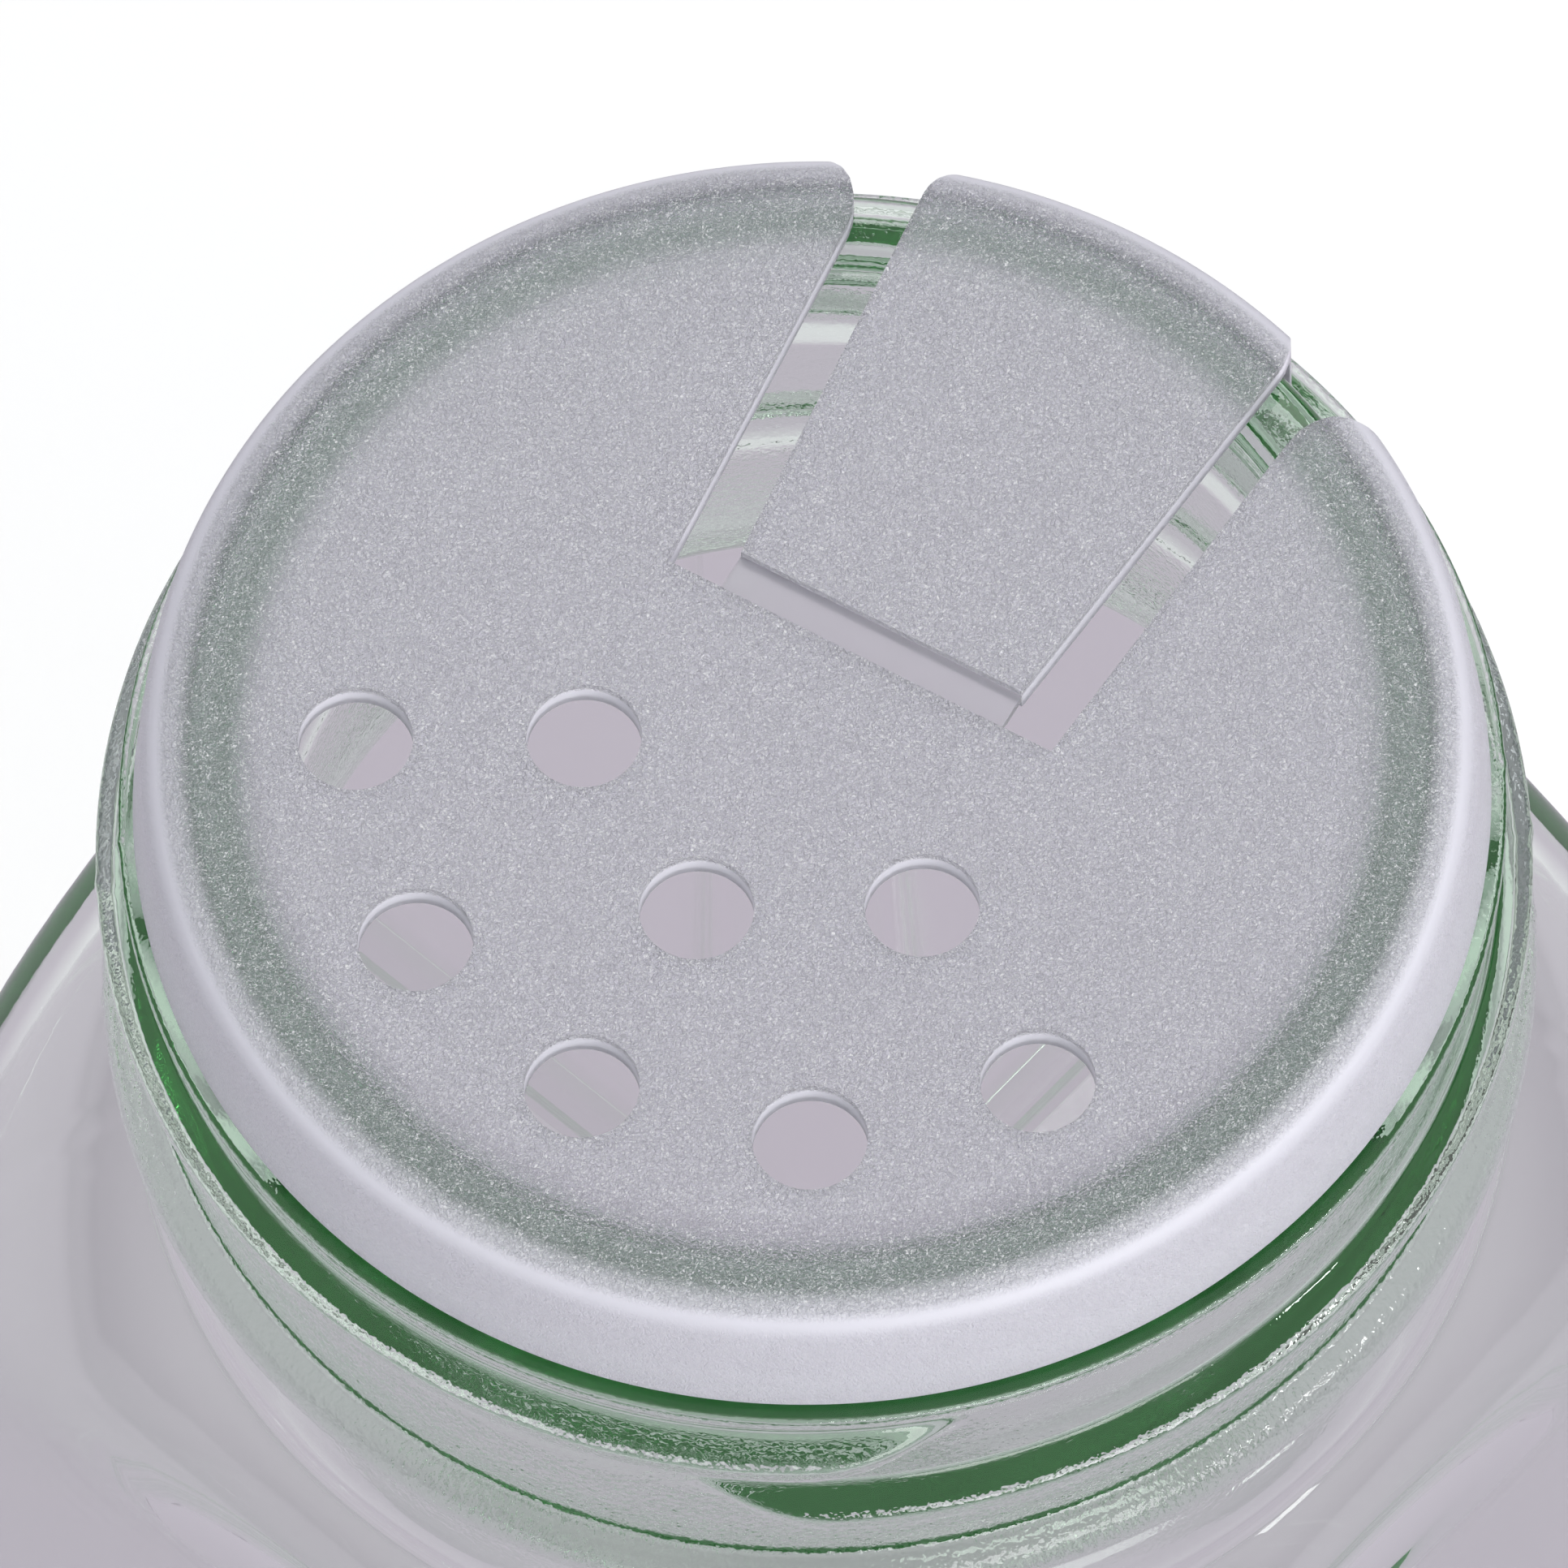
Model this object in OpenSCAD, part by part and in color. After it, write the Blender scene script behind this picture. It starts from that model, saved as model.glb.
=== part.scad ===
// Square glass spice jar with a push-fit shaker insert whose flap lifts to pour.
// Millimetres, +Z up. The origin is the centre of the base, on the surface the jar stands on.

/* [Jar body] */
// Width across the flats of the square body
body_w = 46; // [43:0.5:54]
// Radius of the body's upright corners
body_corner_r = 8; // [6:0.5:11]
// Height of the glass, from the base to the sealing rim
glass_h = 102; // [90:1:130]
// Thickness of the side walls and the shoulder
wall = 2.6; // [2:0.1:3.8]
// Thickness of the floor, above the hollow under the base
floor_t = 4; // [3:0.1:7]
// Radius of the rounded heel outside
heel_r = 3; // [1.5:0.1:4]
// Radius of the rounded heel inside
inner_heel_r = 4; // [2:0.1:5]
// Depth of the shallow hollow under the base
base_hollow = 1; // [0.4:0.1:2]
// Width of the flat ring that the jar stands on
base_ring_w = 4; // [2:0.5:7]
// Radius of the shoulder's dome, seen from the side
shoulder_r = 24; // [21:0.5:28]
// Distance from the sealing rim down to where the dome ends at the corners
shoulder_drop = 38.5; // [36:0.5:46]
// Radius that blends the neck into the shoulder
neck_blend_r = 4; // [2:0.5:6]

/* [Neck] */
// Diameter of the mouth
bore_d = 32.6; // [28:0.1:34]
// Diameter of the lip that the insert snaps over
lip_d = 37.6; // [36:0.1:38.6]
// Height of the lip's bead
lip_bead_h = 1.7; // [1.2:0.1:2.2]
// Depth of the groove under the lip, on the radius
lip_groove = 0.35; // [0.1:0.05:0.6]
// Distance from the sealing rim down to the ledge under the insert's skirt
ledge_drop = 3.3; // [3.2:0.1:4]
// Radius that rounds the edges of the rim
rim_edge_r = 0.8; // [0.3:0.1:0.8]
// Diameter of the neck at the root of the thread
neck_d = 40.4; // [40:0.1:41.4]
// Diameter over the ledge
ledge_d = 40.9; // [40.5:0.1:41.4]
// Height of the ledge's rim
ledge_h = 0.7; // [0.6:0.1:1]
// Radius of the ledge's outer edge
ledge_edge_r = 0.25; // [0.1:0.05:0.3]
// Diameter over the transfer bead
bead_d = 42.6; // [42.4:0.1:44]
// Distance from the sealing rim down to the middle of the bead
bead_drop = 13.3; // [12.5:0.1:13.8]

/* [Thread] */
// Diameter over the thread
thread_d = 42.4; // [41.6:0.1:43]
// Rise of the thread in one turn
thread_pitch = 3.175; // [2.8:0.025:3.6]
// Length of the thread, in turns
thread_turns = 1.06; // [0.9:0.01:1.25]
// Width of the thread at its root
thread_w = 1.95; // [1.6:0.05:2.4]
// Width of the thread at its crest
thread_crest_w = 0.65; // [0.5:0.05:1.2]
// Distance from the sealing rim down to the middle of the thread's upper end
thread_drop = 5.3; // [5:0.1:5.8]
// Direction of the thread's lower end, seen from above
thread_start = 302; // [0:1:359]
// Angle over which each end of the thread runs out
thread_runout = 12; // [6:1:20]

/* [Shaker insert] */
// Thickness of the disc
plate_t = 1; // [0.8:0.05:1.4]
// Diameter of the skirt at its lower edge
skirt_d = 40; // [39.7:0.1:41]
// How much narrower the skirt is at the top, on the radius
skirt_draft = 0.3; // [0:0.05:0.4]
// Gap between the skirt's lower edge and the ledge
skirt_lift = 0.2; // [0.1:0.05:0.4]
// Radius that rounds the disc's upper edge
disc_edge_r = 1.5; // [0.6:0.1:1.7]
// Gap between the lip and the skirt, on the radius
lip_gap = 0.25; // [0.2:0.05:0.4]
// How far the snap rib stands in from the skirt
snap_rib = 0.12; // [0.05:0.01:0.15]
// Height of the snap rib
snap_rib_h = 0.8; // [0.4:0.1:1]
// Turn of the insert on the jar, from the back flat
insert_turn = 12; // [0:1:30]

/* [Sift holes] */
// Diameter of each sift hole
hole_d = 3.4; // [2:0.1:3.8]
// Radius of the outer row of holes
outer_row_r = 13.3; // [12:0.1:14]
// Radius of the inner row of holes
inner_row_r = 6.6; // [6:0.1:8]
// Number of holes in the outer row
outer_row_n = 5; // [1:2:5]
// Number of holes in the inner row
inner_row_n = 3; // [1:2:3]
// Angle between two holes of the outer row
outer_row_step = 30; // [25:1:32]
// Angle between two holes of the inner row
inner_row_step = 60; // [50:1:62]

/* [Flap] */
// Distance from the disc's centre to the disc's side of the hinge groove
groove_start = 2.95; // [2:0.05:4]
// Width of the hinge groove
groove_w = 1.3; // [1.1:0.05:1.6]
// Width of the flap at the hinge
flap_w = 9.5; // [8:0.1:10]
// How far each side of the flap leans outward
flap_lean = 5.6; // [3:0.1:7]
// Gap at the hinge between the flap and the disc, on each side
slot_w = 1.75; // [1.2:0.05:2.2]
// How far each outer side of the slots leans outward
slot_lean = 4.6; // [3:0.1:6]
// Thickness of the living hinge
web_t = 0.3; // [0.25:0.05:0.4]
// Distance from the disc's top face down to the living hinge
web_drop = 0.3; // [0.2:0.05:0.35]

/* [Hidden] */
$fn = 96;

// How far a piece runs into, or a cutter past, what it meets
past = 1;
// How far the thread's root is sunk into the neck
thread_sink = 0.5;
// Angle between two rings of the thread
thread_step = 8;
// Share of its width that the thread's root keeps at each end
thread_end_share = 0.3;
// Width of the thread's crest at each end
thread_end_crest_w = 0.1;
// Least radius that is left between the inner heel and the upright inner corner
least_r = 0.3;

// The dome is a circle turned about the jar's axis. It stands upright where it meets the corners.
corner_mid = body_w / 2 - body_corner_r;
dome_mid_r = corner_mid * sqrt(2) + body_corner_r - shoulder_r;
dome_mid_z = glass_h - shoulder_drop;

neck_r = neck_d / 2;
bore_r = bore_d / 2;
lip_r = lip_d / 2;
ledge_r = ledge_d / 2;
ledge_z = glass_h - ledge_drop;
bead_z = glass_h - bead_drop;
floor_z = base_hollow + floor_t;
inner_corner_r = body_corner_r - wall;
inner_low_r = min(inner_heel_r, inner_corner_r - least_r);
base_hollow_w = body_w - 2 * (heel_r + base_ring_w);

thread_top_z = glass_h - thread_drop;
thread_low_z = thread_top_z - thread_pitch * thread_turns;
thread_sweep = 360 * thread_turns;
thread_rings = ceil(thread_sweep / thread_step);

disc_z = glass_h + plate_t;
skirt_low_z = ledge_z + skirt_lift;
skirt_r = skirt_d / 2;
skirt_bore_r = lip_r + lip_gap;
lip_bead_z = glass_h - lip_bead_h;

flap_start = groove_start + groove_w;
web_z = disc_z - web_drop - web_t;

// Height of the middle of a fillet that touches an upright line and the dome's circle
function blend_z(line_r, arc_r, blend) =
    dome_mid_z + sqrt(pow(arc_r + blend, 2) - pow(line_r + blend - dome_mid_r, 2));

// Square with round corners, drawn about its middle
module round_square(w, corner_r) {
    flat = w - 2 * corner_r;
    square([w, flat], center = true);
    square([flat, w], center = true);
    for (x = [-1, 1], y = [-1, 1])
        translate([x * flat / 2, y * flat / 2]) circle(r = corner_r);
}

// A square block with round upright corners, whose lower edge is rounded all the way round
module round_block(w, corner_r, low_r, h) {
    mid = w / 2 - corner_r;
    translate([0, 0, low_r]) linear_extrude(h - low_r) round_square(w, corner_r);
    linear_extrude(low_r) round_square(w - 2 * low_r, corner_r - low_r);
    for (a = [0 : 90 : 270])
        rotate(a) {
            translate([w / 2 - low_r, mid, low_r]) rotate([90, 0, 0])
                linear_extrude(2 * mid) low_edge(low_r);
            translate([mid, mid, 0]) rotate_extrude(angle = 90)
                translate([corner_r - low_r, low_r]) low_edge(low_r);
        }
}

// Quarter round below the line through its middle
module low_edge(r) {
    intersection() {
        circle(r = r);
        translate([0, -r]) square(r);
    }
}

// Outline of the neck, its blend and the dome, from the axis out, to be turned about the axis
module dome_outline(line_r, arc_r, blend, top_z) {
    blend_mid_z = blend_z(line_r, arc_r, blend);
    blend_mid = [line_r + blend, blend_mid_z];
    dome_mid = [dome_mid_r, dome_mid_z];
    touch = dome_mid + (blend_mid - dome_mid) * arc_r / (arc_r + blend);
    square([dome_mid_r + arc_r, dome_mid_z]);
    intersection() {
        translate(dome_mid) circle(r = arc_r, $fn = 2 * $fn);
        square([dome_mid_r + arc_r, touch.y]);
    }
    square([dome_mid_r, touch.y]);
    difference() {
        polygon([[0, dome_mid_z], touch, blend_mid, [line_r, blend_mid_z], [0, blend_mid_z]]);
        translate(blend_mid) circle(r = blend);
    }
    square([line_r, top_z]);
}

// Outline of the neck above the shoulder, from the axis out
module neck_outline() {
    groove_r = lip_r - lip_groove;
    square([neck_r, ledge_z - ledge_h]);
    translate([0, ledge_z - ledge_h]) square([ledge_r, ledge_h - ledge_edge_r]);
    square([ledge_r - ledge_edge_r, ledge_z]);
    translate([ledge_r - ledge_edge_r, ledge_z - ledge_edge_r]) circle(r = ledge_edge_r);
    square([groove_r, glass_h - lip_bead_h / 2]);
    translate([0, lip_bead_z]) square([lip_r, lip_bead_h - rim_edge_r]);
    square([lip_r - rim_edge_r, glass_h]);
    translate([lip_r - rim_edge_r, glass_h - rim_edge_r]) circle(r = rim_edge_r);
    translate([neck_r, bead_z]) circle(r = bead_d / 2 - neck_r);
}

// Space inside the neck, whose upper edge opens in a round
module mouth_outline() {
    square([bore_r, glass_h + past]);
    difference() {
        translate([0, glass_h - rim_edge_r]) square([bore_r + rim_edge_r, rim_edge_r + past]);
        translate([bore_r + rim_edge_r, glass_h - rim_edge_r]) circle(r = rim_edge_r);
    }
}

// How much of its full height the thread has at an angle from its lower end
function thread_rise(a) =
    let (near = min(a, thread_sweep - a)) near >= thread_runout ? 1 : sin(90 * near / thread_runout);

// One ring of the thread: root, crest and root again, from below. Towards each end it closes up to its upper edge.
function thread_ring(a) =
    let (
        rise = thread_rise(a),
        root_r = neck_r - thread_sink,
        crest_r = neck_r - thread_sink / 2 + (thread_d / 2 - neck_r + thread_sink / 2) * rise,
        root_w = thread_w * (thread_end_share + (1 - thread_end_share) * rise),
        z = thread_low_z + thread_pitch * a / 360 + (thread_w - root_w) / 2,
        crest_w = thread_end_crest_w + (thread_crest_w - thread_end_crest_w) * rise,
        turn = thread_start + a
    )
    [for (p = [[root_r, -root_w / 2], [crest_r, -crest_w / 2], [crest_r, crest_w / 2], [root_r, root_w / 2]])
        [p.x * cos(turn), p.x * sin(turn), z + p.y]];

// The thread as one tube of four-sided rings, closed at both ends
module thread() {
    sides = 4;
    points = [for (i = [0 : thread_rings]) each thread_ring(thread_sweep * i / thread_rings)];
    walls = [for (i = [0 : thread_rings - 1], s = [0 : sides - 1])
        let (a = i * sides + s, b = i * sides + (s + 1) % sides)
        each [[a, a + sides, b + sides], [a, b + sides, b]]];
    last = thread_rings * sides;
    ends = [[0, 1, 2], [0, 2, 3], [last + 2, last + 1, last], [last + 3, last + 2, last]];
    polyhedron(points, concat(walls, ends));
}

module glass_jar() {
    color([0.82, 0.9, 0.86, 0.4]) difference() {
        union() {
            intersection() {
                round_block(body_w, body_corner_r, heel_r, glass_h);
                rotate_extrude() dome_outline(neck_r, shoulder_r, neck_blend_r, bead_z);
            }
            intersection() {
                rotate_extrude() neck_outline();
                translate([0, 0, dome_mid_z]) cylinder(r = body_w, h = glass_h);
            }
            thread();
        }
        intersection() {
            translate([0, 0, floor_z])
                round_block(body_w - 2 * wall, inner_corner_r, inner_low_r, glass_h);
            rotate_extrude() dome_outline(bore_r, shoulder_r - wall, neck_blend_r, bead_z);
        }
        intersection() {
            rotate_extrude() mouth_outline();
            translate([0, 0, bead_z - past]) cylinder(r = body_w, h = glass_h);
        }
        translate([0, 0, -past]) linear_extrude(base_hollow + past)
            round_square(base_hollow_w, body_corner_r - heel_r);
    }
}

// The insert's disc and skirt before the slots are cut
module insert_shell() {
    top_r = skirt_r - skirt_draft;
    difference() {
        rotate_extrude() {
            polygon([
                [0, skirt_low_z],
                [skirt_r, skirt_low_z],
                [top_r, disc_z - disc_edge_r],
                [0, disc_z - disc_edge_r]
            ]);
            translate([0, disc_z - disc_edge_r - plate_t]) square([top_r - disc_edge_r, disc_edge_r + plate_t]);
            translate([top_r - disc_edge_r, disc_z - disc_edge_r]) circle(r = disc_edge_r);
        }
        rotate_extrude() {
            translate([0, skirt_low_z - past])
                square([skirt_bore_r - snap_rib, glass_h - skirt_low_z + past]);
            translate([0, lip_bead_z]) square([skirt_bore_r, lip_bead_h]);
            translate([0, skirt_low_z - past])
                square([skirt_bore_r, lip_bead_z - snap_rib_h - skirt_low_z + past]);
        }
    }
}

// Wedge that widens outward from the hinge, standing upright through the insert
module flap_wedge(start, half_w, lean) {
    reach = skirt_r + past;
    half_out = half_w + (reach - start) * tan(lean);
    translate([0, 0, skirt_low_z - past]) linear_extrude(disc_z - skirt_low_z + 2 * past)
        polygon([[half_w, start], [half_out, reach], [-half_out, reach], [-half_w, start]]);
}

module hole_row(row_r, count, step) {
    for (i = [0 : count - 1])
        rotate(180 + step * (i - (count - 1) / 2)) translate([0, row_r, skirt_low_z])
            cylinder(d = hole_d, h = disc_z - skirt_low_z + past);
}

module shaker_insert() {
    color([0.83, 0.83, 0.86, 0.85]) rotate(insert_turn) difference() {
        insert_shell();
        flap_wedge(groove_start, flap_w / 2 + slot_w, slot_lean);
        hole_row(outer_row_r, outer_row_n, outer_row_step);
        hole_row(inner_row_r, inner_row_n, inner_row_step);
    }
}

module hinge_web() {
    color([0.88, 0.88, 0.9]) rotate(insert_turn)
        translate([-flap_w / 2, groove_start, web_z]) cube([flap_w, groove_w, web_t]);
}

module pour_flap() {
    color([0.8, 0.82, 0.86, 0.85]) rotate(insert_turn) intersection() {
        insert_shell();
        flap_wedge(flap_start, flap_w / 2, flap_lean);
    }
}

glass_jar();
shaker_insert();
hinge_web();
pour_flap();
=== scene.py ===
import math

import bmesh
import bpy
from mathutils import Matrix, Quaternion, Vector


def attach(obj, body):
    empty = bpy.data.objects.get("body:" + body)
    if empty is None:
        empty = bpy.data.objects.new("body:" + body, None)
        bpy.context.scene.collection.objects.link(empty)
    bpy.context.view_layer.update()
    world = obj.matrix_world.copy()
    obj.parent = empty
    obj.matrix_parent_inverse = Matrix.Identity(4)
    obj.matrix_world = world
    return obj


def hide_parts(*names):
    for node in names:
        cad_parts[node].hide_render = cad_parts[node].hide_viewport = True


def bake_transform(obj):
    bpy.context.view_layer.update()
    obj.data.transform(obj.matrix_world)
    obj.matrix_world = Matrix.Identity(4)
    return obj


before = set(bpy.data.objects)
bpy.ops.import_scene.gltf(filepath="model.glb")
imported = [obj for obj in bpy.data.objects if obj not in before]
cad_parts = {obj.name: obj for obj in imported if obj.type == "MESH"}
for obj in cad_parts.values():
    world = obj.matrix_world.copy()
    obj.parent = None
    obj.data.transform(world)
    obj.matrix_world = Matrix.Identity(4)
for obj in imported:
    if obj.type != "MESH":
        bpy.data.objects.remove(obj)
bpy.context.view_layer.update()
mm = 0.001
scene = bpy.context.scene
print("frame loaded")


def linear(hexColour):
    parts = [int(hexColour[i:i + 2], 16) / 255 for i in (1, 3, 5)]
    return [p / 12.92 if p <= 0.04045 else ((p + 0.055) / 1.055) ** 2.4 for p in parts] + [1]


def addNode(tree, kind, inputs=(), **settings):
    # One node with its settings. Its inputs go by name in a dictionary or in order in a list,
    # and each is a value, a socket, or a node, which stands for its first output.
    node = tree.nodes.new("ShaderNode" + kind)
    for name, value in settings.items():
        setattr(node, name, value)
    for name, value in inputs.items() if isinstance(inputs, dict) else enumerate(inputs):
        if isinstance(value, bpy.types.Node):
            value = value.outputs[0]
        if isinstance(value, bpy.types.NodeSocket):
            tree.links.new(value, node.inputs[name])
        else:
            node.inputs[name].default_value = value
    return node


def newMaterial(name):
    material = bpy.data.materials.new(name)
    material.use_nodes = True
    material.node_tree.nodes.clear()
    return material, material.node_tree


def reachAndHeight(tree, coords):
    # distance from the jar's axis, and height, of each point of a surface
    split = addNode(tree, "SeparateXYZ", [coords])
    flatPlace = addNode(tree, "CombineXYZ", [split.outputs["X"], split.outputs["Y"]])
    reach = addNode(tree, "VectorMath", [flatPlace], operation="LENGTH")
    return reach.outputs["Value"], split.outputs["Z"]


def newPiece(name, bm, material=None):
    mesh = bpy.data.meshes.new(name)
    bm.to_mesh(mesh)
    bm.free()
    piece = bpy.data.objects.new(name, mesh)
    scene.collection.objects.link(piece)
    mesh.shade_smooth()
    if material:
        mesh.materials.append(material)
    return piece


def softMin(a, b, width):
    # the smaller of two, with a rounded change-over
    if width <= 0:
        return min(a, b)
    near = max(width - abs(a - b), 0) / width
    return min(a, b) - near * near * width / 4


def smoothStep(low, high, x):
    t = min(max((x - low) / (high - low), 0), 1)
    return t * t * (3 - 2 * t)


def directionOut(azimuth, elevation):
    # from the jar outwards, azimuth from -Y towards +X
    a, e = math.radians(azimuth), math.radians(elevation)
    return Vector((math.sin(a) * math.cos(e), -math.cos(a) * math.cos(e), math.sin(e)))


# An outline is drawn with a pen in the XZ plane, in mm: lines, and arcs that a spin makes.
# A line goes to (r, z) in some cuts. An arc has its centre, its turn in degrees and its steps.

def lineTo(bm, tip, r, z, cuts=1):
    start, end = tip.co.copy(), Vector((r * mm, 0, z * mm))
    for i in range(cuts):
        tip = bmesh.ops.extrude_vert_indiv(bm, verts=[tip])["verts"][0]
        tip.co = start.lerp(end, (i + 1) / cuts)
    return tip


def arcTo(bm, tip, r, z, turn, steps):
    made = bmesh.ops.spin(bm, geom=[tip], cent=(r * mm, 0, z * mm), axis=(0, -1, 0),
                          angle=math.radians(turn), steps=steps)["geom_last"]
    return next(g for g in made if isinstance(g, bmesh.types.BMVert))


def drawOutline(bm, start, strokes):
    tip = bm.verts.new((start[0] * mm, 0, start[1] * mm))
    for kind, *sizes in strokes:
        tip = (lineTo if kind == "line" else arcTo)(bm, tip, *sizes)
    return tip


def turnOutline(start, strokes, steps, centre=(0, 0), merge=1e-7):
    # the outline turned once round an upright axis, closed up
    bm = bmesh.new()
    drawOutline(bm, start, strokes)
    bmesh.ops.spin(bm, geom=bm.verts[:] + bm.edges[:], cent=(0, 0, 0), axis=(0, 0, 1),
                   angle=math.tau, steps=steps, use_merge=True)
    bmesh.ops.remove_doubles(bm, verts=bm.verts, dist=merge)
    bmesh.ops.translate(bm, verts=bm.verts, vec=(centre[0] * mm, centre[1] * mm, 0))
    bmesh.ops.recalc_face_normals(bm, faces=bm.faces)
    return bm


cameraSizes = {
    "azimuth": 44.3, "elevation": 62.4, "roll": -2.7,  # degrees, worked out from the photograph
    "distance": 1000, "lens": 783.9, "sensor": 36, "target": (0.573, -1.732, 103),  # mm
    "sees": (0.1, 20),  # m, nearest and furthest
}


def makeCamera(s):
    out = directionOut(s["azimuth"], s["elevation"])
    data = bpy.data.cameras.new("camera")
    data.lens, data.sensor_width = s["lens"], s["sensor"]
    data.clip_start, data.clip_end = s["sees"]
    camera = bpy.data.objects.new("camera", data)
    scene.collection.objects.link(camera)
    camera.rotation_mode = "QUATERNION"
    camera.location = Vector(s["target"]) * mm + out * s["distance"] * mm
    roll = Quaternion((0, 0, 1), math.radians(s["roll"]))
    camera.rotation_quaternion = (-out).to_track_quat("-Z", "Y") @ roll
    scene.camera = camera


makeCamera(cameraSizes)
print("camera made")

# heights and reaches from the axis in m: where a finish starts and where it is full
glassFinish = {
    "colour": "#ffffff", "ior": 1.52, "tint": "#6cce81", "tintPerMetre": 34,
    "rippleScale": 330, "rippleDepth": 0.00004,  # 3 mm waves
    "skinScale": 5000, "skinDepth": 0.00005,  # 0.2 mm dimples
    "neckHeight": (0.084, 0.088),
    "crestReach": (0.0208, 0.0210), "crestSkin": (0.08, 0.6),
    "ledgeHeight": (0.0978, 0.0980), "ledgeReach": (0.0202, 0.0204), "ledgeSkin": (0, 0.7),
    "beadHeight": (0.0906, 0.0901), "beadSkin": (0, 0.8), "beadRoughness": 0.1,  # from this height down
}


def glassMaterial(f):
    # Soda-lime glass, pressed and blown in a mould: clear, green where the light's path in it is long,
    # with slow ripples on the neck, and a hammered skin on thread and bead that breaks highlights into sparkles.
    material, tree = newMaterial("sodaLimeGlass")
    coords = addNode(tree, "TexCoord").outputs["Object"]
    reach, height = reachAndHeight(tree, coords)
    onNeck = addNode(tree, "MapRange", [height, *f["neckHeight"]])
    onCrest = addNode(tree, "MapRange", [reach, *f["crestReach"], *f["crestSkin"]])
    atLedge = addNode(tree, "MapRange", [height, *f["ledgeHeight"]])
    ledgeOut = addNode(tree, "MapRange", [reach, *f["ledgeReach"], *f["ledgeSkin"]])
    onLedge = addNode(tree, "Math", [atLedge, ledgeOut], operation="MULTIPLY")
    onBead = addNode(tree, "MapRange", [height, *f["beadHeight"], *f["beadSkin"]])
    standsOut = addNode(tree, "Math", [onCrest, onLedge], operation="MAXIMUM")
    standsOut = addNode(tree, "Math", [standsOut, onBead], operation="MAXIMUM")
    standsOut = addNode(tree, "Math", [standsOut, onNeck], operation="MULTIPLY")

    ripple = addNode(tree, "TexNoise", {"Vector": coords, "Scale": f["rippleScale"], "Detail": 1})
    wave = addNode(tree, "Math", [ripple, onNeck], operation="MULTIPLY")
    slow = addNode(tree, "Bump", {"Height": wave, "Distance": f["rippleDepth"]})
    skin = addNode(tree, "TexNoise", {"Vector": coords, "Scale": f["skinScale"], "Detail": 1})
    level = addNode(tree, "Math", [skin, 0.5], operation="SUBTRACT")
    dimple = addNode(tree, "Math", [level, standsOut], operation="MULTIPLY")
    fine = addNode(tree, "Bump", {"Height": dimple, "Distance": f["skinDepth"], "Normal": slow})
    matt = addNode(tree, "Math", [onBead, onNeck], operation="MULTIPLY")
    matt = addNode(tree, "Math", [matt, f["beadRoughness"]], operation="MULTIPLY")

    glass = addNode(tree, "BsdfPrincipled", {
        "Base Color": linear(f["colour"]), "Roughness": matt, "IOR": f["ior"],
        "Transmission Weight": 1, "Normal": fine})
    tint = addNode(tree, "VolumeAbsorption", {"Color": linear(f["tint"]), "Density": f["tintPerMetre"]})
    addNode(tree, "OutputMaterial", {"Surface": glass, "Volume": tint})
    return material


jarSizes = {
    "steps": 360, "merge": 2e-6,
    "half": 23, "corner": 8, "innerHalf": 21.2, "innerCorner": 6.2,
    "flatMid": 15,  # the body's side to the middle of its corner rounding
    "squareTop": 40,  # below this height an outline's radius is the square's half width
    "baseCorner": 5, "baseCornerFrom": 16,  # the least corner rounding, and the radius from which it is full
    "shoulderSoft": 1.8, "softFrom": (64, 72), "softTo": (80, 88),
    "threadLow": 93.335, "threadPitch": 3.175, "threadSweep": 381.6, "threadStart": 302, "threadZone": (92, 98),
    "threadHeight": 1.0, "threadWidth": 1.95, "threadCrest": 0.65, "threadSoft": 0.12,
    "threadRunout": 12, "threadEnd": 0.3, "threadEndCrest": 0.1,
    "seam": 0.05, "seamFrom": 4, "seamAngles": (45, -135), "seamHalf": 0.2,
}
jarOutside = ((0, 1), [
    ("line", 15, 1, 3), ("line", 15.8, 0.85), ("line", 16.4, 0.3), ("line", 17, 0), ("line", 20, 0, 2),
    ("arc", 20, 3, 90, 8), ("line", 23, 10), ("line", 29.213, 55), ("line", 29.213, 63.5, 6),
    ("arc", 5.213, 63.5, 49.72, 26), ("arc", 21.7, 82.953, -49.72, 8),
    ("line", 20.2, 87.3, 2), ("arc", 20.6, 87.3, -65, 4), ("line", 20.665, 87.703), ("arc", 20.2, 88.7, 130, 14),
    ("line", 20.431, 89.7375), ("arc", 20.6, 90.1, -65, 4), ("line", 20.2, 92.2, 2), ("line", 20.2, 97.8, 56),
    ("line", 20.3, 98, 2), ("line", 20.42, 98.15), ("line", 20.45, 98.3), ("line", 20.45, 98.5),
    ("arc", 20.25, 98.5, 90, 5), ("line", 18.8, 98.7, 4), ("arc", 18.8, 99.05, -90, 4), ("line", 18.45, 99.9),
    ("line", 18.53, 100.12), ("line", 18.7, 100.3), ("line", 18.8, 100.55), ("line", 18.8, 101.2),
    ("arc", 18, 101.2, 90, 8), ("line", 17.6, 102)])
jarInside = ((17.6, 102), [
    ("line", 17.1, 102), ("arc", 17.1, 101.2, 90, 8), ("line", 16.3, 85.6, 6), ("arc", 21.63, 85.6, 53.39, 16),
    ("arc", 5.213, 63.5, -53.39, 20), ("line", 27.413, 55), ("line", 21.2, 12), ("line", 21.2, 9),
    ("arc", 17.2, 9, -90, 8), ("line", 0, 5, 4)])


def squareReach(angle, half, corner):
    # from the axis to a square with round corners
    c, s = abs(math.cos(angle)), abs(math.sin(angle))
    c, s = max(c, s), min(c, s)
    flat = half - corner
    if half / c * s <= flat:
        return half / c
    along = flat * (c + s)
    return along + math.sqrt(along * along - 2 * flat * flat + corner * corner)


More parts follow.
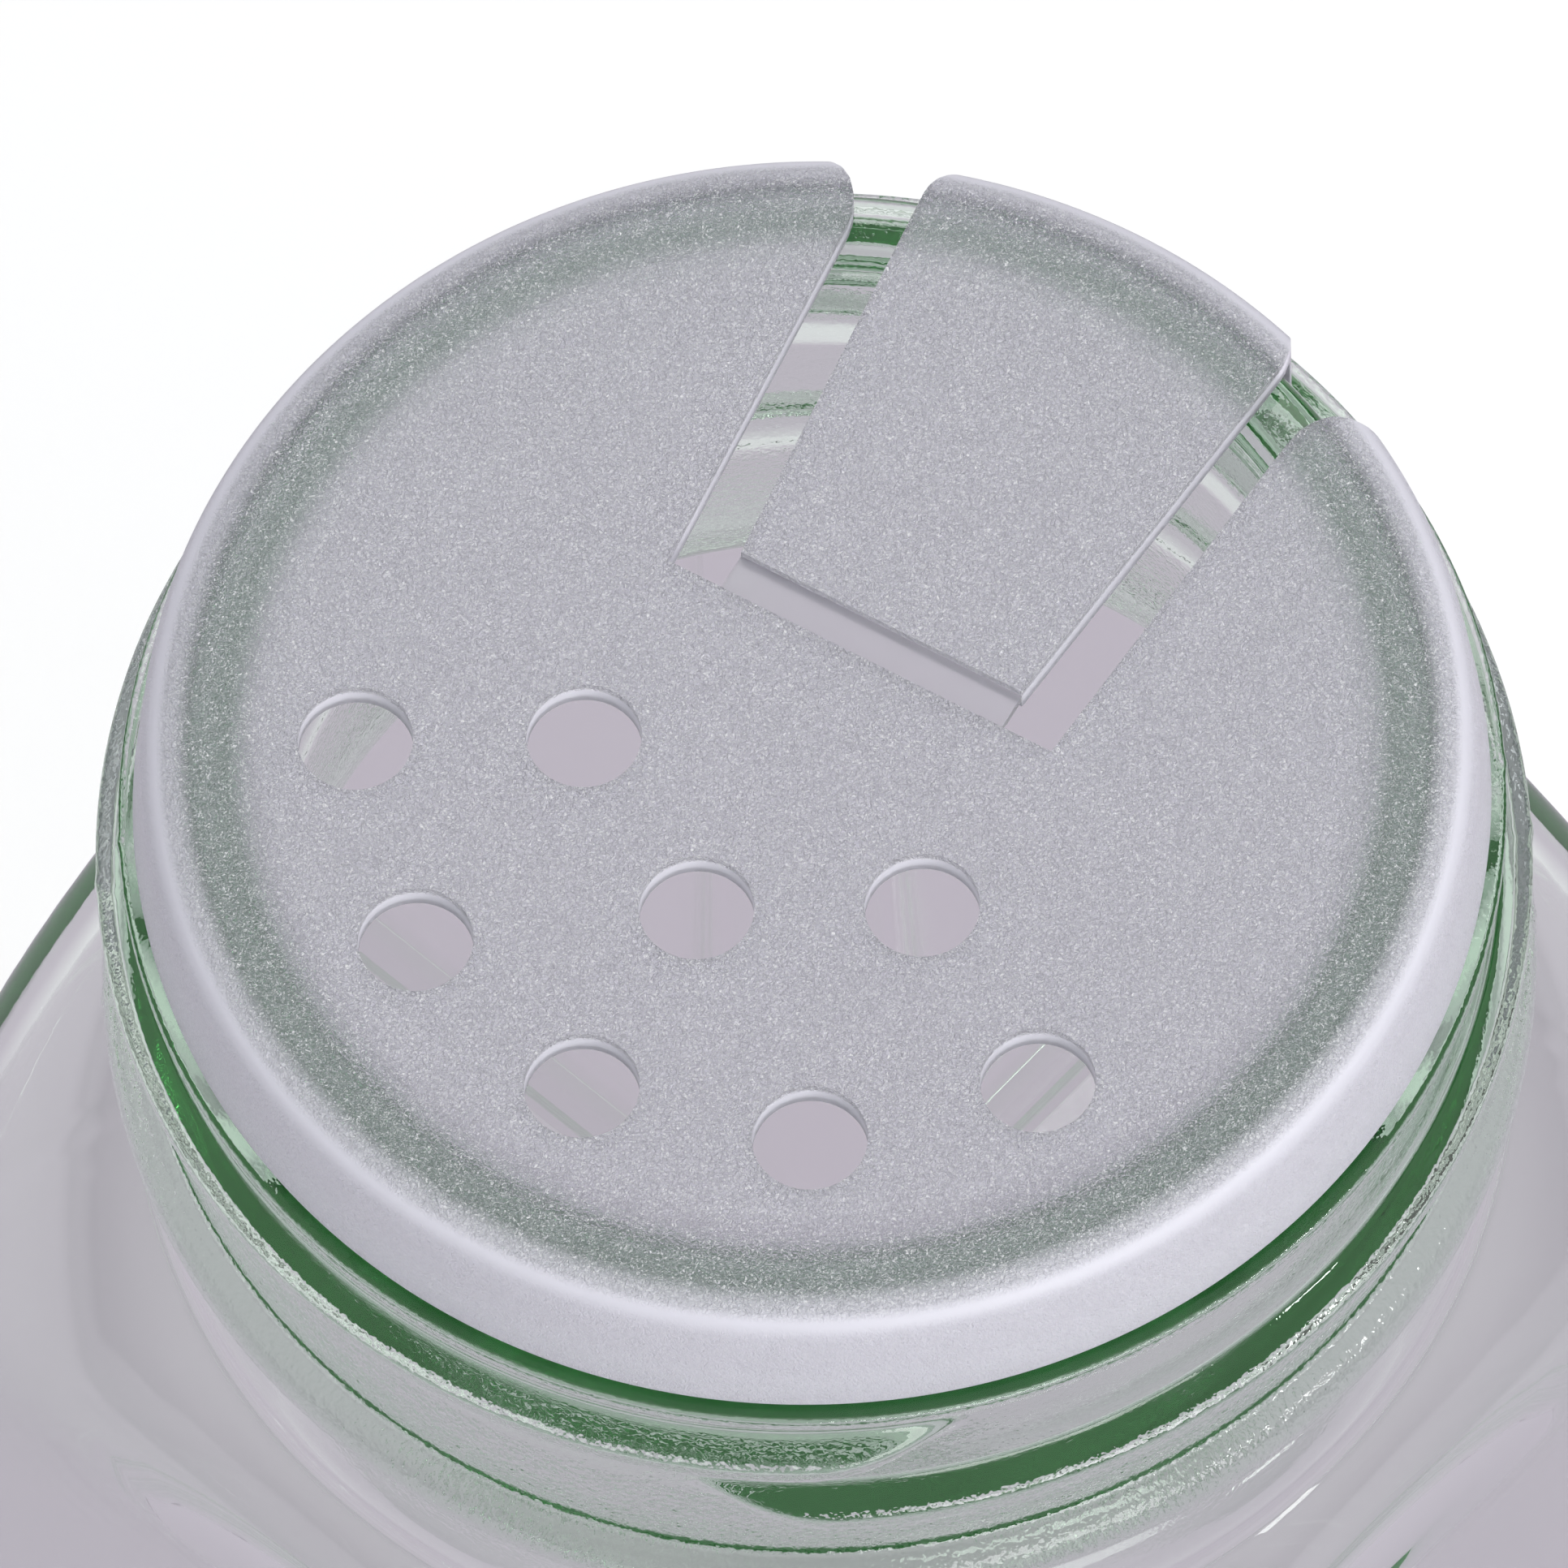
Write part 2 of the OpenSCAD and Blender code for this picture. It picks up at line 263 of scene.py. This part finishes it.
def threadRise(s, angle, z):
    # how far the thread stands out of the neck, on its first turn or its second
    best = 0
    for lap in (0, 360):
        along = (math.degrees(angle) - s["threadStart"]) % 360 + lap
        near = min(along, s["threadSweep"] - along)
        if near <= 0:
            continue
        rise = 1 if near >= s["threadRunout"] else math.sin(math.pi / 2 * near / s["threadRunout"])
        width = s["threadWidth"] * (s["threadEnd"] + (1 - s["threadEnd"]) * rise)
        crest = s["threadEndCrest"] + (s["threadCrest"] - s["threadEndCrest"]) * rise
        below = s["threadLow"] + s["threadPitch"] * along / 360 + s["threadWidth"] / 2 - z
        share = min(below, width - below) / ((width - crest) / 2)
        share = -softMin(-share, 0, s["threadSoft"])
        best = max(best, s["threadHeight"] * rise * softMin(share, 1, s["threadSoft"]))
    return best


def pressJar(bm, s, half, corner, outside):
    # the turned shape pressed square below the shoulder, with the thread and seams on its outside
    for v in bm.verts:
        x, y, z = v.co / mm
        r = math.hypot(x, y)
        if r < 1e-4:  # on the axis
            continue
        angle = math.atan2(y, x)
        if z < s["squareTop"]:
            least = min(s["baseCorner"], s["baseCorner"] * r / s["baseCornerFrom"])
            reach = squareReach(angle, r, max(r - s["flatMid"], least))
        else:
            soft = s["shoulderSoft"] * smoothStep(*s["softFrom"], z) * (1 - smoothStep(*s["softTo"], z))
            reach = softMin(r, squareReach(angle, half, corner), soft)
        if outside:
            if s["threadZone"][0] < z < s["threadZone"][1]:
                reach += threadRise(s, angle, z)
            fromSeam = min(abs(math.degrees(angle) - a) for a in s["seamAngles"])
            if z > s["seamFrom"] and fromSeam < s["seamHalf"]:
                reach += s["seam"]
        v.co = Vector((x / r * reach, y / r * reach, z)) * mm


def makeJar(s):
    bm = turnOutline(*jarOutside, s["steps"])
    pressJar(bm, s, s["half"], s["corner"], True)
    inner = turnOutline(*jarInside, s["steps"])
    pressJar(inner, s, s["innerHalf"], s["innerCorner"], False)
    inside = bpy.data.meshes.new("inside")
    inner.to_mesh(inside)
    inner.free()
    bm.from_mesh(inside)
    bpy.data.meshes.remove(inside)
    bmesh.ops.remove_doubles(bm, verts=bm.verts, dist=s["merge"])
    bmesh.ops.recalc_face_normals(bm, faces=bm.faces)
    jar = newPiece("glassJar", bm, glassMaterial(glassFinish))
    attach(jar, "jar")
    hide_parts("glass_jar")


makeJar(jarSizes)
print("jar made")

# heights and reaches from the axis in m, as for the glass; "clear" is the share of light that goes through
plasticFinish = {
    "base": {"IOR": 1.49, "Subsurface Weight": 0.2, "Subsurface Radius": (1, 1, 1), "Subsurface Scale": 0.0005},
    # the worm lines' colour is whiter as a painted sparkle highlight
    "colour": "#f0eef7", "wormSparkleColour": "#ffffff", "roughness": 0.42,
    "discEnd": (0.0184, 0.0196), "topHeight": (0.1026, 0.1028), "wallHeight": (0.1022, 0.1024), "wallMilk": 0.7,
    "skirtReach": (0.0193, 0.0196), "skirtGrain": (0, 0.3),
    "grainScale": 10500, "grainTwist": 0.8, "grainDepth": 0.00024,  # 0.1 mm worms
    "wormWidth": 0.0014,
    # flecks: single painted sparkles, made milky
    "fleckScale": 9000, "fleckFrom": (0.66, 0.72), "fleckSparkleRange": (0, 0.8),  # 0.1 mm flecks
    "lipReach": (0.0158, 0.0170), "rimReach": (0.0182, 0.0187),  # between them the disc lies on the glass
    # how milky the worm lines are, as a painted sparkle, on the disc and over the glass lip
    "discSparkle": 0.3, "lipSparkle": 0.75,
    "discClear": 0.5, "lipClear": 0.93, "rimClear": 0.44,
    # cut edges: stress-whitened, and painted lighter still as a painted highlight
    "whitenedHighlit": ("#ffffff", 0.15, 0.3), "thin": ("#f2f1f5", 0.9, 0.35),  # colour, clear, roughness
}


def grainedPlastic(f):
    # Natural polypropylene, injection moulded: translucent enough to show the glass rim under it, with a waxy
    # sheen, a fine worm-like spark-eroded grain on the disc's top that catches light, and a milkier skirt.
    # The grain's worm lines and single flecks are painted whiter and milkier: a painted sparkle highlight, most
    # over the glass lip.
    material, tree = newMaterial("naturalPolypropylene")
    coords = addNode(tree, "TexCoord").outputs["Object"]
    reach, height = reachAndHeight(tree, coords)
    disc = addNode(tree, "MapRange", [reach, *f["discEnd"], 1, 0])
    top = addNode(tree, "MapRange", [height, *f["topHeight"]])
    onTop = addNode(tree, "Math", [disc, top], operation="MULTIPLY")
    wall = addNode(tree, "MapRange", [height, *f["wallHeight"]])
    onWall = addNode(tree, "Math", [disc, wall], operation="MULTIPLY")
    onWall = addNode(tree, "Math", [onWall, onTop], operation="SUBTRACT")
    onSkirt = addNode(tree, "MapRange", [reach, *f["skirtReach"], *f["skirtGrain"]])
    grained = addNode(tree, "Math", [onTop, onSkirt], operation="MAXIMUM")

    # the grain, and the worm-like lines where its level crosses the middle
    grain = addNode(tree, "TexNoise", {
        "Vector": coords, "Scale": f["grainScale"], "Detail": 1, "Distortion": f["grainTwist"]})
    level = addNode(tree, "Math", [grain, 0.5], operation="SUBTRACT")
    relief = addNode(tree, "Math", [level, grained], operation="MULTIPLY")
    bump = addNode(tree, "Bump", {"Height": relief, "Distance": f["grainDepth"]})
    worm = addNode(tree, "Math", [level, level], operation="MULTIPLY")
    worm = addNode(tree, "MapRange", [worm, 0, f["wormWidth"], 1, 0])
    wormOnTop = addNode(tree, "Math", [worm, grained], operation="MULTIPLY")
    # the worm lines painted white: a painted sparkle highlight
    colour = addNode(tree, "Mix", {"Factor": wormOnTop, 6: linear(f["colour"]), 7: linear(f["wormSparkleColour"])},
                     data_type="RGBA")

    # what makes it milky: hole walls, and as painted sparkle highlights the worm lines, most over the glass lip,
    # and single flecks
    milkyWall = addNode(tree, "Math", [onWall, f["wallMilk"]], operation="MULTIPLY")
    sparkleIn = addNode(tree, "MapRange", [reach, *f["lipReach"], f["discSparkle"], f["lipSparkle"]])
    sparkleOut = addNode(tree, "MapRange", [reach, *f["rimReach"], f["lipSparkle"], f["discSparkle"]])
    overLip = addNode(tree, "Math", [sparkleIn, sparkleOut], operation="MINIMUM")
    wormSparkle = addNode(tree, "Math", [wormOnTop, overLip], operation="MULTIPLY")
    fleck = addNode(tree, "TexNoise", {"Vector": coords, "Scale": f["fleckScale"]})
    fleck = addNode(tree, "MapRange", [fleck, *f["fleckFrom"], *f["fleckSparkleRange"]])
    fleckSparkle = addNode(tree, "Math", [fleck, grained], operation="MULTIPLY")
    milky = addNode(tree, "Math", [milkyWall, wormSparkle], operation="ADD")
    milky = addNode(tree, "Math", [milky, fleckSparkle], operation="ADD")

    clearIn = addNode(tree, "MapRange", [reach, *f["lipReach"], f["discClear"], f["lipClear"]])
    clearOut = addNode(tree, "MapRange", [reach, *f["rimReach"], f["lipClear"], f["rimClear"]])
    clear = addNode(tree, "Math", [clearOut, clearIn], operation="MINIMUM")
    clear = addNode(tree, "Math", [clear, milky], operation="SUBTRACT")
    plastic = addNode(tree, "BsdfPrincipled", {
        **f["base"], "Base Color": colour.outputs[2], "Roughness": f["roughness"],
        "Transmission Weight": clear, "Normal": bump})
    addNode(tree, "OutputMaterial", {"Surface": plastic})
    return material


def plainPlastic(name, base, colour, clear, roughness):
    # The same polypropylene without the grain: clearer where it is thin, whitened where an edge is cut, which is
    # also a painted highlight there.
    material, tree = newMaterial(name)
    plastic = addNode(tree, "BsdfPrincipled", {
        **base, "Base Color": linear(colour), "Roughness": roughness, "Transmission Weight": clear})
    addNode(tree, "OutputMaterial", {"Surface": plastic})
    return material


insertSizes = {
    "steps": 360, "turn": 12,  # degrees, the flap's direction from +Y towards -X
    "grooveStart": 2.95, "flapStart": 4.25, "flapHalf": 4.75, "flapLean": 5.6, "slot": 1.75, "slotLean": 4.6,
    "rimRound": 2.1, "rimSteps": 8, "rimReach": 20, "low": 98, "high": 104,
    "past": 1.2,  # how many times as far as the rim a cutter goes
    "holeR": 1.7, "holeSteps": 48,
    "holeRows": ((13.3, (-60, -30, 0, 30, 60)), (6.6, (-60, 0, 60))),  # radius, and degrees from the middle
    "edge": 0.17, "edgeSteps": 2,  # the most; where short edges meet, the bevel stays far narrower
    "sharpest": 35, "flattest": 0.3, "merge": 1e-6,
}
insertSection = ((0, 103), [
    ("line", 17.9, 103, 2), ("line", 18.2, 103), ("arc", 18.2, 101.5, -90, 14), ("line", 19.99, 99),
    ("arc", 19.89, 99, -90, 3), ("line", 19.15, 98.9), ("arc", 19.15, 99, -90, 3), ("line", 19.05, 99.4),
    ("line", 18.93, 99.55), ("line", 18.93, 100.15), ("line", 19.05, 100.3), ("line", 19.05, 101.93),
    ("arc", 18.95, 101.93, 90, 3), ("line", 0, 102.03, 2)])


def openEnds(bm):
    # the two near ends and the two far ends of a mirrored line
    ends = sorted((v for v in bm.verts if len(v.link_edges) == 1), key=lambda v: v.co.length)
    return [ends[:2], ends[2:]]


def wedge(s, start, half, lean, outwards):
    # an upright wedge that widens from the hinge to the rim, where its corner is round in plan
    bm = bmesh.new()
    turn, size, reach = math.radians(lean), s["rimRound"], s["rimReach"] - s["rimRound"]
    along, across = Vector((math.sin(turn), 0, math.cos(turn))), Vector((math.cos(turn), 0, -math.sin(turn)))
    corner = Vector((half, 0, start)) + across * size * outwards
    dot = corner.dot(along)
    centre = corner + along * (-dot + math.sqrt(dot * dot - corner.length_squared + reach * reach))
    touch = centre - across * size * outwards
    sweep = math.degrees(centre.angle(-across * outwards))
    tip = drawOutline(bm, (half, start), [("line", touch.x, touch.z),
                                          ("arc", centre.x, centre.z, -outwards * sweep, s["rimSteps"])])
    lineTo(bm, tip, tip.co.x / mm * s["past"], tip.co.z / mm * s["past"])
    toPlan = Quaternion((1, 0, 0), math.radians(-90))
    bmesh.ops.rotate(bm, verts=bm.verts, cent=(0, 0, 0), matrix=toPlan.to_matrix())
    bmesh.ops.mirror(bm, geom=bm.verts[:] + bm.edges[:], axis="X", merge_dist=0)
    bmesh.ops.contextual_create(bm, geom=bm.edges[:] + [bm.edges.new(pair) for pair in openEnds(bm)])
    raised = bmesh.ops.extrude_face_region(bm, geom=bm.faces[:])["geom"]
    bmesh.ops.translate(bm, verts=bm.verts, vec=(0, 0, s["low"] * mm))
    bmesh.ops.translate(bm, verts=[g for g in raised if isinstance(g, bmesh.types.BMVert)],
                        vec=(0, 0, (s["high"] - s["low"]) * mm))
    toFlap = Quaternion((0, 0, 1), math.radians(s["turn"]))
    bmesh.ops.rotate(bm, verts=bm.verts, cent=(0, 0, 0), matrix=toFlap.to_matrix())
    bmesh.ops.recalc_face_normals(bm, faces=bm.faces)
    return bm


def holeCutters(s):
    # round pins in two rows, across from the flap
    cutters = []
    pin = (0, s["high"]), [("line", s["holeR"], s["high"]), ("line", s["holeR"], s["low"]), ("line", 0, s["low"])]
    for reach, turns in s["holeRows"]:
        for turn in turns:
            a = math.radians(s["turn"] + 270 + turn)
            cutters.append(turnOutline(*pin, s["holeSteps"], (reach * math.cos(a), reach * math.sin(a))))
    return cutters


def cutWith(piece, cutters, operation):
    # exact cuts, one after another
    for cutter in cutters:
        tool = newPiece("cutter", cutter)
        cut = piece.modifiers.new("cut", "BOOLEAN")
        cut.object, cut.operation, cut.solver = tool, operation, "EXACT"
        made = bpy.data.meshes.new_from_object(piece.evaluated_get(bpy.context.evaluated_depsgraph_get()))
        piece.modifiers.clear()
        old, piece.data = piece.data, made
        made.name = piece.name
        bpy.data.meshes.remove(old)
        bpy.data.meshes.remove(tool.data)


def finishEdges(piece, s):
    # flat faces made whole, and edges rounded a little, in the second finish
    bm = bmesh.new()
    bm.from_mesh(piece.data)
    bmesh.ops.remove_doubles(bm, verts=bm.verts, dist=s["merge"])
    bmesh.ops.dissolve_limit(bm, angle_limit=math.radians(s["flattest"]), verts=bm.verts, edges=bm.edges)
    sharpest = math.radians(s["sharpest"])
    sharp = [e for e in bm.edges if len(e.link_faces) == 2 and e.calc_face_angle() > sharpest]
    made = bmesh.ops.bevel(bm, geom=sharp, offset=s["edge"] * mm, offset_type="OFFSET", segments=s["edgeSteps"],
                           profile=0.5, affect="EDGES", clamp_overlap=True, material=-1)["faces"]
    # the rounded edges take the second finish, whitened, which is also a painted highlight
    for f in made:
        f.material_index = 1
    for f in bm.faces:
        f.smooth = True
    bm.to_mesh(piece.data)
    bm.free()
    piece.modifiers.new("evenShading", "WEIGHTED_NORMAL").keep_sharp = True


def newMoulding(name, s, materials):
    # the whole insert before its cuts, with its two finishes
    piece = newPiece(name, turnOutline(*insertSection, s["steps"]), materials[0])
    piece.data.materials.append(materials[1])
    return piece


def makeInsert(s, materials):
    piece = newMoulding("shakerInsert", s, materials)
    opening = wedge(s, s["grooveStart"], s["flapHalf"] + s["slot"], s["slotLean"], 1)
    cutWith(piece, [opening] + holeCutters(s), "DIFFERENCE")
    finishEdges(piece, s)
    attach(piece, "insert")
    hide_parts("shaker_insert")


def makeFlap(s, materials):
    piece = newMoulding("pourFlap", s, materials)
    cutWith(piece, [wedge(s, s["flapStart"], s["flapHalf"], s["flapLean"], -1)], "INTERSECT")
    finishEdges(piece, s)
    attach(piece, "flap")
    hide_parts("pour_flap")


plastics = [grainedPlastic(plasticFinish),
            plainPlastic("whitenedHighlitPolypropylene", plasticFinish["base"], *plasticFinish["whitenedHighlit"])]
makeInsert(insertSizes, plastics)
print("insert made")
makeFlap(insertSizes, plastics)
print("flap made")

hingeSizes = {
    "half": insertSizes["flapHalf"], "start": insertSizes["grooveStart"], "end": insertSizes["flapStart"],
    "low": 102.4, "high": 102.7, "cuts": 12, "turn": insertSizes["turn"],
}


def makeHinge(s):
    # the living hinge, thin and smooth
    bm = bmesh.new()
    middle, height = (s["start"] + s["end"]) / 2, (s["low"] + s["high"]) / 2
    bmesh.ops.create_cube(bm, size=mm)
    bmesh.ops.scale(bm, verts=bm.verts, vec=(2 * s["half"], s["end"] - s["start"], s["high"] - s["low"]))
    bmesh.ops.translate(bm, verts=bm.verts, vec=(0, middle * mm, height * mm))
    along = [e for e in bm.edges if abs(e.verts[0].co.y - e.verts[1].co.y) > 0.5 * mm]  # groove to flap
    bmesh.ops.subdivide_edges(bm, edges=along, cuts=s["cuts"], use_grid_fill=True)
    turn = Quaternion((0, 0, 1), math.radians(s["turn"]))
    bmesh.ops.rotate(bm, verts=bm.verts, cent=(0, 0, 0), matrix=turn.to_matrix())
    bmesh.ops.recalc_face_normals(bm, faces=bm.faces)
    material = plainPlastic("thinPolypropylene", plasticFinish["base"], *plasticFinish["thin"])
    piece = newPiece("hingeStrip", bm, material)
    piece.data.shade_flat()
    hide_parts("hinge_web")
    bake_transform(piece)


makeHinge(hingeSizes)
print("hinge made")

# places and sizes in m
stageSizes = {
    "floor": 3, "floorSteps": 96,
    "white": "#f3f3f3", "openShare": 0.6, "glassShare": 0.6, "light": 1.3,
    # the grey is a painted shadow on the floor round the jar, seen only by glass and gloss rays, fading out to
    # the pale colour further out
    "shadowGrey": "#bdb2c0", "shadowFadeReach": (0.11, 0.24), "pale": "#dcd8de", "dark": "#3a3436", "darkFrom": (0.9, 1.8),
    "world": 0.65, "worldColour": "#f9fbff",
    "horizon": 0.08, "zenith": 0.85, "skyFrom": (0.02, 0.25), "skyColour": "#ffffff",
    "aim": 0.09,  # the height that the lamps are turned to
}
# degrees to the camera's right, degrees up, then distance, width and height in m, and power in W
lamps = {
    "backBox": (165, 50, 1.2, 0.8, 0.5, 3.0),
    "sideBox": (62, 30, 1.0, 0.12, 0.12, 1.2),
    "frontBox": (25, 20, 1.2, 0.8, 0.45, 5.6),
}


def anyOf(tree, *names):
    # 1 for a ray of any of these kinds
    path = addNode(tree, "LightPath")
    value = path.outputs[names[0]]
    for name in names[1:]:
        value = addNode(tree, "Math", [value, path.outputs[name]], operation="MAXIMUM")
    return value


def makeFloor(s):
    # Matt paper: white in the open with part of its white its own, and a pale lilac grey through glass,
    # as in the photograph. It takes the object's shadow.
    material, tree = newMaterial("mattPaper")
    reach = reachAndHeight(tree, addNode(tree, "TexCoord").outputs["Object"])[0]
    # painted shadow round the jar for glass and gloss rays: grey near the jar, paler further out
    pastShadow = addNode(tree, "MapRange", [reach, *s["shadowFadeReach"]])
    near = addNode(tree, "Mix", {"Factor": pastShadow, 6: linear(s["shadowGrey"]), 7: linear(s["pale"])},
                   data_type="RGBA")
    pastPale = addNode(tree, "MapRange", [reach, *s["darkFrom"]])
    dim = addNode(tree, "Mix", {"Factor": pastPale, 6: near.outputs[2], 7: linear(s["dark"])},
                  data_type="RGBA")
    inGlass = anyOf(tree, "Is Glossy Ray", "Is Transmission Ray")
    colour = addNode(tree, "Mix", {"Factor": inGlass, 6: linear(s["white"]), 7: dim.outputs[2]},
                     data_type="RGBA").outputs[2]
    openShare = addNode(tree, "Math", [anyOf(tree, "Is Camera Ray"), s["openShare"]], operation="MULTIPLY")
    glassShare = addNode(tree, "Math", [inGlass, s["glassShare"]], operation="MULTIPLY")
    share = addNode(tree, "Math", [openShare, glassShare], operation="ADD")
    paper = addNode(tree, "BsdfDiffuse", {"Color": colour})
    own = addNode(tree, "Emission", {"Color": colour, "Strength": s["light"]})
    mix = addNode(tree, "MixShader", [share, paper, own])
    addNode(tree, "OutputMaterial", {"Surface": mix})
    bm = bmesh.new()
    bmesh.ops.create_circle(bm, cap_ends=True, segments=s["floorSteps"], radius=s["floor"])
    newPiece("floor", bm, material)


def makeWorld(s):
    world = bpy.data.worlds.new("studio")
    world.use_nodes = True
    tree = world.node_tree
    tree.nodes.clear()
    light = addNode(tree, "Background", {"Color": linear(s["worldColour"]), "Strength": s["world"]})
    # what glass and gloss see of the studio: dark at the horizon, white above
    split = addNode(tree, "SeparateXYZ", [addNode(tree, "TexCoord").outputs["Generated"]])
    sky = addNode(tree, "MapRange", [split.outputs["Z"], *s["skyFrom"], s["horizon"], s["zenith"]])
    seen = addNode(tree, "Math", [sky, anyOf(tree, "Is Camera Ray")], operation="MAXIMUM")
    white = addNode(tree, "Background", {"Color": linear(s["skyColour"]), "Strength": seen})
    sees = anyOf(tree, "Is Camera Ray", "Is Glossy Ray", "Is Transmission Ray")
    mix = addNode(tree, "MixShader", [sees, light, white])
    addNode(tree, "OutputWorld", {"Surface": mix})
    scene.world = world


def addSoftbox(name, azimuth, elevation, distance, width, height, power):
    out = directionOut(cameraSizes["azimuth"] + azimuth, elevation)
    data = bpy.data.lights.new(name, "AREA")
    data.shape, data.size, data.size_y, data.energy = "RECTANGLE", width, height, power
    lamp = bpy.data.objects.new(name, data)
    scene.collection.objects.link(lamp)
    lamp.rotation_mode = "QUATERNION"
    lamp.location = Vector((0, 0, stageSizes["aim"])) + out * distance
    lamp.rotation_quaternion = (-out).to_track_quat("-Z", "Y")


makeFloor(stageSizes)
makeWorld(stageSizes)
for name, sizes in lamps.items():
    addSoftbox(name, *sizes)
scene.view_settings.view_transform = "Standard"
# Light is led down inside the glass wall by many reflections before it leaves.
scene.cycles.max_bounces = 64
scene.cycles.glossy_bounces = 48
scene.cycles.transmission_bounces = 32
print("stage made")
